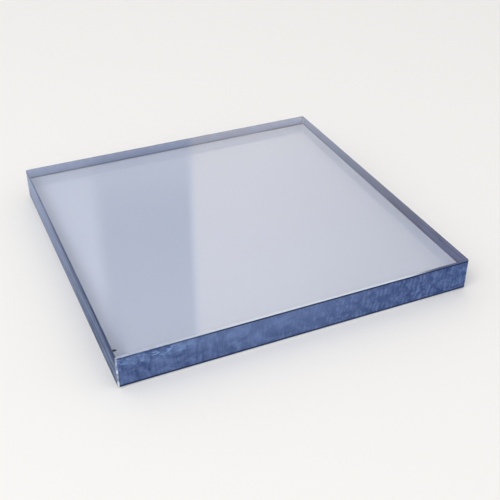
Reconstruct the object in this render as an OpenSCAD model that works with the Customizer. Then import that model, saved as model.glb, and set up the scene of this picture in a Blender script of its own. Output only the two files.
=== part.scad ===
// A cut piece of solid polycarbonate sheet, lying flat: one plate of one gauge all over.
// X runs along the length, Y along the width and Z through the thickness, from the
// underside at Z = 0. The origin is the middle of the underside.

/* [Sheet] */
// Length of the piece along X, in millimetres
sheet_length = 100; // [20:1:2000]
// Width of the piece along Y, in millimetres
sheet_width = 100; // [20:1:1250]
// Gauge of the sheet, its thickness along Z, in millimetres
gauge = 9.5; // [1:0.5:25]

/* [Cut edges] */
// How much is taken off each sharp edge between a face and a cut edge
arris = 0.3; // [0.1:0.05:0.45]
// How much is taken off each upright corner, where two cut edges meet
corner_break = 0.4; // [0.1:0.1:5]

/* [Hidden] */

// A rectangle centred on both axes, with its four corners cut at 45 degrees.
module broken_rectangle(across, up, cut) {
    x = across / 2;
    y = up / 2;
    polygon([
        [x, cut - y],
        [x, y - cut],
        [x - cut, y],
        [cut - x, y],
        [-x, y - cut],
        [-x, cut - y],
        [cut - x, -y],
        [x - cut, -y]
    ]);
}

// The piece as seen from above, with its upright corners broken.
module plan() {
    linear_extrude(height = gauge, center = true)
        broken_rectangle(sheet_length, sheet_width, corner_break);
}

// The section across the width, the same along the whole length: it breaks the long arrises.
module section_along_length() {
    rotate([90, 0, 90])
        linear_extrude(height = sheet_length, center = true)
            broken_rectangle(sheet_width, gauge, arris);
}

// The section across the length, the same along the whole width.
module section_along_width() {
    rotate([90, 0, 0])
        linear_extrude(height = sheet_width, center = true)
            broken_rectangle(sheet_length, gauge, arris);
}

// The whole sheet: what the plan and the two sections have in common, stood on Z = 0.
module sheet() {
    color("LightSteelBlue", 0.55)
        translate([0, 0, gauge / 2])
            intersection() {
                plan();
                section_along_length();
                section_along_width();
            }
}

sheet();
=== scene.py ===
import math
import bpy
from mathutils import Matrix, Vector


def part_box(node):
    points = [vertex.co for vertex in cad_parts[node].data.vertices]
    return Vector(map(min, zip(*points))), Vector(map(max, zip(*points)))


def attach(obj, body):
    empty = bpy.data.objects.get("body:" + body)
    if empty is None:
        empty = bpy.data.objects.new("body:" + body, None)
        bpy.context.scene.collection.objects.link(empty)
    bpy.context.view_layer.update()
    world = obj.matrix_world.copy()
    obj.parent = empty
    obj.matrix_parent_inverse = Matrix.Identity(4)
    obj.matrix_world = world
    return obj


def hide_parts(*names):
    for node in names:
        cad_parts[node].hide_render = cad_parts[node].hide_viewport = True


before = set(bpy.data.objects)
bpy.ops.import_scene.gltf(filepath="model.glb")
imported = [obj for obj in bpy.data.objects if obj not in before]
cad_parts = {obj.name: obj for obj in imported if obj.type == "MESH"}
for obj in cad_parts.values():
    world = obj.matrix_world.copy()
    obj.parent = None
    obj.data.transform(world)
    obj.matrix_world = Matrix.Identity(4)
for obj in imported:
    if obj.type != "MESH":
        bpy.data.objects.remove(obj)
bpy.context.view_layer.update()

from types import SimpleNamespace

import bpy
from mathutils import Vector, noise

MM = 0.001

# The sheet, read off the frame
LOW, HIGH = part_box("sheet")
HALF_X, HALF_Y = HIGH.x, HIGH.y
GAUGE = HIGH.z - LOW.z
ARRIS = 0.3 * MM
CORNER_BREAK = 0.4 * MM
# What is left of the corner's cut on the flat faces, inside the arrises
CAP_CORNER = 0.12 * MM

# The camera: where it stands, and where it looks
EYE = (-0.2022, 0.0831, 0.1426)
AIM = (-0.014, -0.0005, 0.004)
LENS_MM = 62.0
SENSOR_MM = 36.0
NEAR_CLIP = 0.01

# The sawn edges: how finely their relief is drawn, how deep it goes and how soon it fades at the ends
LEVELS = 34
STEPS = 260
STREAK_DEPTH = 0.07 * MM
RIPPLE_DEPTH = 0.05 * MM
FADE_ALONG = 12
FADE_UP = 8
SHARP_ANGLE = math.radians(30)
SEED_STEP = 20.0
SEED_START = 3.5

# The relief's noises: length and height of one turn in millimetres, strength, and step on from the seed
BROAD_STREAKS = (22, 1.1, 0.45, 0)
FINE_STREAKS = (7, 0.45, 0.35, 7)
BLADE_SWAY = (5, 3, 0.5, 0)
BLADE_MARKS = (0.9, 6, 0.4, 3)
BROAD_MARKS = (6, 5, 0.3, 9)

# The plastic
REFRACTION = 1.585
BODY_TINT = (0.05, 0.22, 0.60, 1)
TINT_PER_METRE = 26.0
CLEAR = (1, 1, 1, 1)
FACE_GLOSS = 0.5
CUT_GLOSS = 0.0

# The roughness of the faces, and of the dark and the light parts of the cuts
FACE_ROUGHNESS = 0.015
CUT_ROUGHNESS = (0.95, 0.8)
GRAIN_STRENGTH = 0.5
GRAIN_HEIGHT = 0.05 * MM

# How much light the cuts let through: near end, far end, +Y side (high), -Y side (low), and the pale
# marks, which are the scuffs and the painted highlights
NEAR_CLEAR = 0.3
FAR_CLEAR = 0.7
HIGH_CLEAR = 0.5
LOW_CLEAR = 0.7
MARK_CLEAR = 0.1

# The colours of the cuts: the two ends, the +Y side (high) and the -Y side (low). The far end and the
# far parts of the sides are painted lighter than the near parts: painted light
END_DARK = (0.044, 0.08, 0.225, 1)
END_LIGHT = (0.19, 0.285, 0.56, 1)
END_LIFT = (0.22, 0.32, 0.60, 1)
# Painted light: the far end's colour is a lighter copy of the near end's
PAINTED_LIGHT_FAR_END = (0.52, 0.65, 0.96, 1)
HIGH_DARK = (0.075, 0.115, 0.24, 1)
HIGH_LIGHT = (0.31, 0.39, 0.60, 1)
# Painted light: the +Y side grows lighter and greyer towards the far end
HIGH_FAR_PAINTED_LIGHT = (0.58, 0.64, 0.76, 1)
HIGH_FAR_SHARE = 0.7
LOW_DARK = (0.06, 0.125, 0.34, 1)
LOW_LIGHT = (0.30, 0.43, 0.88, 1)
# Painted light: the -Y side grows lighter towards the far end
LOW_FAR_PAINTED_LIGHT = (0.54, 0.72, 1.0, 1)

# The colours of the marks: scuffs, the painted shade beside the arrises, the painted highlights on the
# arrises and the corners, and the nick
SCUFF = (0.22, 0.35, 0.64, 1)
# Painted shade: a dark line painted on the cuts beside each arris, weaker on the long sides
PAINTED_ARRIS_SHADE = (0.02, 0.035, 0.10, 1)
SIDE_ARRIS_SHADE_SHARE = 0.5
# Painted highlight: a pale line painted on the end arrises and the vertical corners
PAINTED_ARRIS_HIGHLIGHT = (0.90, 0.95, 1.0, 1)
NICK = (0.004, 0.006, 0.02, 1)
NICK_PLACE = (-47.2, 49.35, 9.5)

# Noises: turns per millimetre along X, Y and Z, then detail, roughness and distortion
LINES = ((0.035, 0.035, 0.8), 4.0, 0.6, 0.0)
FINE_LINES = ((0.12, 0.12, 2.6), 2.0, 0.5, 0.0)
MARKS = ((1.0, 1.3, 0.3), 4.0, 0.6, 0.4)
CLOUDS = ((0.2, 0.2, 0.3), 4.0, 0.6, 0.8)
FLECKS = ((0.5, 0.55, 0.5), 4.0, 0.62, 0.6)
SWAY = ((0.3, 0.3, 0.3), 2.0, 0.5, 0.0)
# Breaks in the painted highlight on the corners
CORNER_HIGHLIGHT_BREAKS = ((0.2, 0.2, 0.55), 2.0, 0.5, 0.0)
NICK_CRUMBS = ((2.2, 1.4, 1.0), 2.0, 0.5, 0.0)
PATCHES = ((0.7, 0.65, 0.9), 4.0, 0.68, 0.5)
PATCHES_TURN = 0.7

# How the noises go together
FINE_LINE_SHARE = 0.45
CLOUD_SHARE = 0.64
RIPPLE_PITCH = 1.3
RIPPLE_LEAN = 0.1
RIPPLE_SWAY = 2.6
NICK_CRUMB_DEPTH = 0.5

# Slopes: where each starts and ends, then its values before and after where they aren't 0 and 1.
# These go by the part of the normal along one axis
CUT_SLOPE = (0.97, 0.9)
ARRIS_SLOPE = (0.45, 0.6)
END_SLOPE = (0.6, 0.75)
# Where the painted highlight on the vertical corners lies
CORNER_HIGHLIGHT_SLOPE = (0.5, 0.66)

# These go by a noise or a wave
# Where the painted highlight on the corners is broken
CORNER_HIGHLIGHT_BREAK_SLOPE = (0.42, 0.6, 0.2, 0.8)
LINE_SLOPE = (0.4, 0.6)
MOTTLE_SLOPE = (0.36, 0.65)
WAVE_SLOPE = (-1.0, 1.0, 0.35, 1.0)
FLECK_SLOPE = (0.4, 0.62)
PATCH_SLOPE = (0.5, 0.6)

# These go by a place or a distance in millimetres
LOW_SIDE_SLOPE = (1.0, -1.0)
# The far end: where its painted lighter colour and its clearness take over
FAR_SLOPE = (0.0, 1.0)
RIPPLE_SHARE_SLOPE = (22.0, -10.0, 0.0, 0.7)
TOP_SHADE_SLOPE = (46.0, 30.0, 0.75, 1.0)
NEAR_END_SLOPE = (0.7, 0.3)
SCUFF_ALONG_SLOPE = (24.0, 34.0)
SCUFF_UP_SLOPE = (4.0, 7.5)
LIFT_ALONG_SLOPE = (-34.0, 5.0)
LIFT_UP_SLOPE = (1.0, 8.0, 0.2, 0.5)
LIFT_TOP_SLOPE = (44.0, 16.0, 0.15, 1.0)
# Where the painted light on the sides grows towards the far end
AWAY_SLOPE = (-45.0, 60.0)
# How far the painted shade beside the arrises reaches from the nearer face
ARRIS_SHADE_SLOPE = (0.95, 0.65)
UPPER_HALF_SLOPE = (4.0, 6.0)
# On the ends the painted shade beside the upper arris weakens towards the +Y corner
END_ARRIS_SHADE_SLOPE = (46.0, 14.0, 0.45, 1.0)
# How strong the painted highlight on the end arrises is along Y
ARRIS_HIGHLIGHT_SLOPES = ((48.0, 15.0, 0.6, 1.0), (-40.0, -30.0, 0.15, 1.0))
NICK_SLOPE = (0.86, 0.68)

# The surround: its colours, then slopes in degrees round the sheet (turn) and above the floor (rise)
SKY_LEVEL = 0.88
SKY = (0.97, 0.98, 1.0, 1)
HORIZON = (0.85, 0.83, 0.815, 1)
GAP = (0.12, 0.16, 0.26, 1)
PANEL = (1.55, 1.38, 1.1, 1)
PANEL_END = (0.56, 0.45, 0.34, 1)
GAP_TURN_SLOPES = ((-19.6, -19.0), (-11.5, -13.0))
GAP_RISE_SLOPES = ((24.0, 33.0), (60.0, 43.0))
PANEL_TURN_SLOPES = ((-19.4, -19.9), (-85.0, -65.0))
PANEL_RISE_SLOPES = ((70.0, 45.0), (12.0, 20.0))
PANEL_FADE_SLOPE = (-22.0, -46.0)
SKY_RISE_SLOPE = (0.0, 20.0)

# The lamp and the floor
KEY_WATTS = 3.0
KEY_SIZE = 0.5
KEY_PLACE = (-0.35, 0.55, 0.8)
FLOOR_SIZE = 6
FLOOR_DROP = 0.3 * MM
FLOOR_COLOUR = (0.885, 0.872, 0.852, 1)
FLOOR_ROUGHNESS = 0.7
FLOOR_GLOSS = 0.2


def relief_noise(along, up, seed, settings):
    """One of the relief's noises at a place on an edge, from about minus to plus its strength."""
    length, height, strength, offset = settings
    return strength * noise.noise(Vector((along / (length * MM), up / (height * MM), seed + offset)))


def as_share(relief):
    """A relief about 0 as a share from 0 to 1."""
    return min(1.0, max(0.0, 0.5 + relief))


def streaks(along, up, seed):
    """Relief of a long edge: fine saw lines that run the length of the edge."""
    broad = relief_noise(along, up, seed, BROAD_STREAKS)
    fine = relief_noise(along, up, seed, FINE_STREAKS)
    return as_share(broad + fine)


def ripples(along, up, seed):
    """Relief of an end edge: the marks that the blade leaves across the thickness."""
    sway = MM * relief_noise(along, up, seed, BLADE_SWAY)
    marks = relief_noise(along + sway, up, seed, BLADE_MARKS)
    broad = relief_noise(along, up, seed, BROAD_MARKS)
    return as_share(marks + broad)


# Each side of the plan, going round: its outward normal, its direction, its relief and its depth
SIDES = [
    (Vector((1, 0, 0)), Vector((0, 1, 0)), ripples, RIPPLE_DEPTH),
    (Vector((0, 1, 0)), Vector((-1, 0, 0)), streaks, STREAK_DEPTH),
    (Vector((-1, 0, 0)), Vector((0, -1, 0)), ripples, RIPPLE_DEPTH),
    (Vector((0, -1, 0)), Vector((1, 0, 0)), streaks, STREAK_DEPTH),
]


def fade_at_ends(share, steepness):
    """Nothing at shares 0 and 1, and everything in between."""
    return min(1.0, steepness * share, steepness * (1 - share))


def ring(height, inset, cut, relief_share):
    """One turn round the sheet at a height: points along each side, held in by the relief."""
    points = []
    for number, (outward, along, relief, depth) in enumerate(SIDES):
        reach = (HALF_X if outward.x else HALF_Y) - inset
        half = (HALF_Y if outward.x else HALF_X) - inset - cut
        seed = SEED_STEP * number + SEED_START
        for step in range(STEPS + 1):
            share = step / STEPS
            place = half * (2 * share - 1)
            fade = fade_at_ends(share, FADE_ALONG) * relief_share
            hold = depth * relief(place, height, seed) * fade
            points.append(outward * (reach - hold) + along * place + Vector((0, 0, height)))
    return points


def sheet_rings():
    """The turns from the underside to the upper face."""
    rings = [ring(LOW.z, ARRIS, CAP_CORNER, 0.0)]
    for level in range(LEVELS + 1):
        share = level / LEVELS
        height = LOW.z + ARRIS + share * (GAUGE - 2 * ARRIS)
        rings.append(ring(height, 0.0, CORNER_BREAK, fade_at_ends(share, FADE_UP)))
    rings.append(ring(HIGH.z, ARRIS, CAP_CORNER, 0.0))
    return rings


def build_sheet():
    """The whole sheet as one closed mesh: flat faces, broken arrises and sawn edges."""
    rings = sheet_rings()
    count = len(rings[0])
    faces = [tuple(reversed(range(count)))]
    for level in range(len(rings) - 1):
        below = level * count
        above = below + count
        for place in range(count):
            after = (place + 1) % count
            faces.append((below + place, below + after, above + after, above + place))
    top = (len(rings) - 1) * count
    faces.append(tuple(range(top, top + count)))
    mesh = bpy.data.meshes.new("sheet_mesh")
    mesh.from_pydata([point for turn in rings for point in turn], [], faces)
    mesh.polygons.foreach_set("use_smooth", [True] * len(mesh.polygons))
    mesh.set_sharp_from_angle(angle=SHARP_ANGLE)
    mesh.validate()
    piece = bpy.data.objects.new("clear_sheet", mesh)
    bpy.context.scene.collection.objects.link(piece)
    return piece


class Graph:
    """A node tree, emptied, with short names for the nodes that it uses."""

    def __init__(self, tree):
        self.tree = tree
        self.tree.nodes.clear()

    def feed(self, socket, value):
        """Gives an input a plain value or another node's output."""
        if isinstance(value, bpy.types.NodeSocket):
            self.tree.links.new(value, socket)
        else:
            socket.default_value = value

    def add(self, kind, inputs, **settings):
        """A node of a kind, with its inputs and its settings."""
        made = self.tree.nodes.new(kind)
        for name, value in settings.items():
            setattr(made, name, value)
        for key, value in inputs.items():
            self.feed(made.inputs[key], value)
        return made

    def math(self, operation, first, second=0.0):
        return self.add("ShaderNodeMath", {0: first, 1: second}, operation=operation).outputs[0]

    def times(self, *values):
        """The product of two or more numbers."""
        product = values[0]
        for value in values[1:]:
            product = self.math("MULTIPLY", product, value)
        return product

    def parts(self, vector):
        """The X, Y and Z of a vector."""
        return self.add("ShaderNodeSeparateXYZ", {"Vector": vector}).outputs

    def stretch(self, vector, factors):
        inputs = {0: vector, 1: factors}
        return self.add("ShaderNodeVectorMath", inputs, operation="MULTIPLY").outputs[0]

    def step(self, value, start, end, low=0.0, high=1.0):
        """Low before start, high after end, and a smooth slope between."""
        inputs = {"Value": value, "From Min": start, "From Max": end, "To Min": low, "To Max": high}
        made = self.add("ShaderNodeMapRange", inputs, interpolation_type="SMOOTHSTEP")
        return made.outputs["Result"]

    def steps(self, value, slopes):
        """The product of several slopes of one number."""
        return self.times(*[self.step(value, *slope) for slope in slopes])

    def noise(self, vector, detail, roughness, distortion):
        inputs = {"Vector": vector, "Scale": 1.0, "Detail": detail}
        inputs.update({"Roughness": roughness, "Distortion": distortion})
        return self.add("ShaderNodeTexNoise", inputs).outputs["Fac"]

    def pattern(self, place, settings):
        """One of the noises named above, at a place in millimetres."""
        return self.noise(self.stretch(place, settings[0]), *settings[1:])

    def blend(self, share, first, second):
        """A number between two numbers."""
        inputs = {"Factor": share, "A": first, "B": second}
        return self.add("ShaderNodeMix", inputs, data_type="FLOAT").outputs["Result"]

    def tint(self, share, first, second):
        """A colour between two colours. The node has a socket of each name for every kind of value."""
        made = self.add("ShaderNodeMix", {}, data_type="RGBA")
        for key, value in (("Factor_Float", share), ("A_Color", first), ("B_Color", second)):
            self.feed(next(s for s in made.inputs if s.identifier == key), value)
        return next(s for s in made.outputs if s.identifier == "Result_Color")


def skin_zones(g):
    """What each point of the skin is, by its place in millimetres and by the way it faces."""
    place = g.add("ShaderNodeTexCoord", {}).outputs["Object"]
    millimetres = g.stretch(place, (1 / MM, 1 / MM, 1 / MM))
    at = g.parts(millimetres)
    facing = g.parts(g.add("ShaderNodeNewGeometry", {}).outputs["Normal"])
    to_end = g.math("ABSOLUTE", facing["X"])
    to_side = g.math("ABSOLUTE", facing["Y"])
    to_face = g.math("ABSOLUTE", facing["Z"])
    sawn = g.step(to_face, *CUT_SLOPE)
    # Breaks in the painted highlight on the corners
    highlight_breaks = g.step(g.pattern(millimetres, CORNER_HIGHLIGHT_BREAKS), *CORNER_HIGHLIGHT_BREAK_SLOPE)
    return SimpleNamespace(
        millimetres=millimetres,
        at=at,
        sawn=sawn,
        arris=g.times(sawn, g.step(to_face, *ARRIS_SLOPE)),
        end=g.step(to_end, *END_SLOPE),
        # corner: where the painted highlight goes on the vertical corners
        corner=g.times(g.step(g.math("MINIMUM", to_end, to_side), *CORNER_HIGHLIGHT_SLOPE), highlight_breaks),
        low_side=g.step(at["Y"], *LOW_SIDE_SLOPE),
        far=g.step(at["X"], *FAR_SLOPE),
    )


def saw_marks(g, zone):
    """Saw lines along the long edges, and blade marks across the end edges, as shades from 0 to 1."""
    lines = g.pattern(zone.millimetres, LINES)
    fine_lines = g.pattern(zone.millimetres, FINE_LINES)
    marks = g.pattern(zone.millimetres, MARKS)
    clouds = g.pattern(zone.millimetres, CLOUDS)
    flecks = g.pattern(zone.millimetres, FLECKS)
    sway = g.pattern(zone.millimetres, SWAY)
    lean = g.math("ADD", g.times(zone.at["Z"], RIPPLE_LEAN), g.times(sway, RIPPLE_SWAY))
    course = g.math("ADD", zone.at["Y"], lean)
    wave = g.math("SINE", g.times(course, 2 * math.pi / RIPPLE_PITCH))
    ripple = g.times(g.step(wave, *WAVE_SLOPE), g.step(flecks, *FLECK_SLOPE))
    mottle = g.step(g.blend(CLOUD_SHARE, marks, clouds), *MOTTLE_SLOPE)
    line_shade = g.step(g.blend(FINE_LINE_SHARE, lines, fine_lines), *LINE_SLOPE)
    end_marks = g.blend(g.step(zone.at["Y"], *RIPPLE_SHARE_SLOPE), mottle, ripple)
    mark_shade = g.times(end_marks, g.step(zone.at["Y"], *TOP_SHADE_SLOPE))
    grain = g.blend(zone.end, fine_lines, marks)
    return line_shade, mark_shade, grain


def scuff_share(g, zone):
    """Pale scuffs near the top of the near end, beside the upper arris."""
    turns, *settings = PATCHES
    slanted = {"Vector": zone.millimetres, "Rotation": (PATCHES_TURN, 0, 0), "Scale": turns}
    patches = g.noise(g.add("ShaderNodeMapping", slanted).outputs[0], *settings)
    start, end = [depth - HALF_X / MM for depth in NEAR_END_SLOPE]
    return g.times(
        g.step(patches, *PATCH_SLOPE),
        g.step(zone.at["X"], start, end),
        g.step(zone.at["Y"], *SCUFF_ALONG_SLOPE),
        g.step(zone.at["Z"], *SCUFF_UP_SLOPE),
    )


def nick_share(g, zone):
    """The small dark nick beside the near corner of the upper face."""
    ends = {0: zone.millimetres, 1: NICK_PLACE}
    distance = g.add("ShaderNodeVectorMath", ends, operation="DISTANCE").outputs["Value"]
    crumbs = g.times(g.pattern(zone.millimetres, NICK_CRUMBS), NICK_CRUMB_DEPTH)
    return g.step(g.math("ADD", distance, crumbs), *NICK_SLOPE)


def cut_colour(g, zone, line_shade, mark_shade):
    """The colour of the cuts, without scuffs and the painted lines at the arrises: ends, high side and
    low side, with painted light that makes them lighter towards the far end.
    """
    at = zone.at
    lifted = g.times(
        g.step(at["Y"], *LIFT_ALONG_SLOPE),
        g.step(at["Z"], *LIFT_UP_SLOPE),
        g.step(at["Y"], *LIFT_TOP_SLOPE),
    )
    near_end = g.tint(lifted, g.tint(mark_shade, END_DARK, END_LIGHT), END_LIFT)
    # Painted light: the far end is painted lighter than the near end
    end_colour = g.tint(zone.far, near_end, PAINTED_LIGHT_FAR_END)
    # Painted light: the sides are painted lighter towards the far end
    away = g.step(at["X"], *AWAY_SLOPE)
    high_near = g.tint(line_shade, HIGH_DARK, HIGH_LIGHT)
    high_colour = g.tint(g.times(away, HIGH_FAR_SHARE), high_near, HIGH_FAR_PAINTED_LIGHT)
    low_colour = g.tint(away, g.tint(line_shade, LOW_DARK, LOW_LIGHT), LOW_FAR_PAINTED_LIGHT)
    return g.tint(zone.end, g.tint(zone.low_side, high_colour, low_colour), end_colour)


def painted_arris_shade_share(g, zone):
    """Painted shade: a dark line beside each arris, where the depth under the nearer face is small. On
    the ends the upper one is weaker towards the +Y corner."""
    middle = GAUGE / MM / 2
    off_middle = g.math("ABSOLUTE", g.math("SUBTRACT", zone.at["Z"], middle))
    depth = g.math("SUBTRACT", middle, off_middle)
    upper = g.step(zone.at["Z"], *UPPER_HALF_SLOPE)
    end_arris_shade = g.blend(upper, 1.0, g.step(zone.at["Y"], *END_ARRIS_SHADE_SLOPE))
    return g.times(g.step(depth, *ARRIS_SHADE_SLOPE), g.blend(zone.end, SIDE_ARRIS_SHADE_SHARE, end_arris_shade))


def cut_clearness(g, zone):
    """How much light a cut lets through, without its pale marks."""
    sides = g.blend(zone.low_side, HIGH_CLEAR, LOW_CLEAR)
    ends = g.blend(zone.far, NEAR_CLEAR, FAR_CLEAR)
    return g.blend(zone.end, sides, ends)


def polycarbonate():
    """Clear plastic with a blue body tint: polished on its faces, matt on its sawn edges. The cuts
    carry painted shade and painted highlights at the arrises, and painted light towards the far end.
    """
    material = bpy.data.materials.new("polycarbonate_clear")
    material.use_nodes = True
    g = Graph(material.node_tree)
    zone = skin_zones(g)
    line_shade, mark_shade, grain = saw_marks(g, zone)
    scuffs = scuff_share(g, zone)
    nick = nick_share(g, zone)
    # Painted highlight: pale lines painted on the end arrises and on the corners, standing in for the
    # light that they catch
    painted_arris_highlight = g.times(zone.arris, zone.end, g.steps(zone.at["Y"], ARRIS_HIGHLIGHT_SLOPES))
    pale = g.math("MAXIMUM", painted_arris_highlight, zone.corner)

    edge_colour = g.tint(scuffs, cut_colour(g, zone, line_shade, mark_shade), SCUFF)
    # Painted shade beside the arrises
    edge_colour = g.tint(painted_arris_shade_share(g, zone), edge_colour, PAINTED_ARRIS_SHADE)
    # Painted highlights on the end arrises and the corners
    edge_colour = g.tint(pale, edge_colour, PAINTED_ARRIS_HIGHLIGHT)
    colour = g.tint(nick, g.tint(zone.sawn, CLEAR, edge_colour), NICK)

    # The scuffs and the painted highlights let less light through
    edge_clear = g.blend(g.math("MAXIMUM", scuffs, pale), cut_clearness(g, zone), MARK_CLEAR)
    clear = g.blend(nick, g.blend(zone.sawn, 1.0, edge_clear), 0.0)
    edge_roughness = g.blend(g.blend(zone.end, line_shade, mark_shade), *CUT_ROUGHNESS)
    strength = g.times(zone.sawn, GRAIN_STRENGTH)
    bumps = {"Strength": strength, "Distance": GRAIN_HEIGHT, "Height": grain}

    skin = g.add("ShaderNodeBsdfPrincipled", {
        "Base Color": colour,
        "Roughness": g.blend(zone.sawn, FACE_ROUGHNESS, edge_roughness),
        "IOR": REFRACTION,
        "Transmission Weight": clear,
        "Specular IOR Level": g.blend(zone.sawn, FACE_GLOSS, CUT_GLOSS),
        "Normal": g.add("ShaderNodeBump", bumps).outputs["Normal"],
    })
    body = g.add("ShaderNodeVolumeAbsorption", {"Color": BODY_TINT, "Density": TINT_PER_METRE})
    g.add("ShaderNodeOutputMaterial", {"Surface": skin.outputs[0], "Volume": body.outputs[0]})
    return material


def matt_floor():
    """A warm pale grey, almost without gloss."""
    material = bpy.data.materials.new("floor_pale")
    material.use_nodes = True
    skin = material.node_tree.nodes["Principled BSDF"]
    skin.inputs["Base Color"].default_value = FLOOR_COLOUR
    skin.inputs["Roughness"].default_value = FLOOR_ROUGHNESS
    skin.inputs["Specular IOR Level"].default_value = FLOOR_GLOSS
    return material


def floor():
    """A wide floor, just under the sheet."""
    bpy.ops.mesh.primitive_plane_add(size=FLOOR_SIZE, location=(0, 0, -FLOOR_DROP))
    ground = bpy.context.object
    ground.name = "floor"
    ground.data.materials.append(matt_floor())


def stand(name, data, place, target):
    """A lamp or a camera at a place, turned to a target."""
    stood = bpy.data.objects.new(name, data)
    stood.location = place
    stood.rotation_euler = (Vector(target) - Vector(place)).to_track_quat("-Z", "Y").to_euler()
    bpy.context.scene.collection.objects.link(stood)
    return stood


def surround():
    """A pale surround that the faces mirror. It meets the floor at the horizon, and has a bright panel
    beside a darker gap."""
    world = bpy.data.worlds.new("surround")
    bpy.context.scene.world = world
    world.use_nodes = True
    g = Graph(world.node_tree)
    way = g.parts(g.add("ShaderNodeTexCoord", {}).outputs["Generated"])
    turn = g.math("DEGREES", g.math("ARCTAN2", way["Y"], way["X"]))
    rise = g.math("DEGREES", g.math("ARCSINE", way["Z"]))
    in_gap = g.times(g.steps(turn, GAP_TURN_SLOPES), g.steps(rise, GAP_RISE_SLOPES))
    in_panel = g.times(g.steps(turn, PANEL_TURN_SLOPES), g.steps(rise, PANEL_RISE_SLOPES))
    panel = g.tint(g.step(turn, *PANEL_FADE_SLOPE), PANEL, PANEL_END)
    sky = g.tint(g.step(rise, *SKY_RISE_SLOPE), HORIZON, SKY)
    colour = g.tint(in_panel, g.tint(in_gap, sky, GAP), panel)
    back = g.add("ShaderNodeBackground", {"Color": colour, "Strength": SKY_LEVEL})
    g.add("ShaderNodeOutputWorld", {"Surface": back.outputs[0]})


def lamp():
    """One large soft lamp, high on the near left."""
    data = bpy.data.lights.new("key", "AREA")
    data.shape = "SQUARE"
    data.size = KEY_SIZE
    data.energy = KEY_WATTS
    stand("key", data, KEY_PLACE, (0, 0, 0))


def camera():
    """A camera at the photo's own angle to the sheet."""
    data = bpy.data.cameras.new("main_camera")
    data.lens = LENS_MM
    data.sensor_width = SENSOR_MM
    data.clip_start = NEAR_CLIP
    bpy.context.scene.camera = stand("main_camera", data, EYE, AIM)


# With Cycles' own filter the floor that shows through the sheet comes out too dark and blurred
bpy.context.scene.cycles.blur_glossy = 0.0
bpy.context.scene.view_settings.view_transform = "Standard"
camera()
floor()
surround()
lamp()

sheet = build_sheet()
sheet.data.materials.append(polycarbonate())
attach(sheet, "root")
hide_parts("sheet")
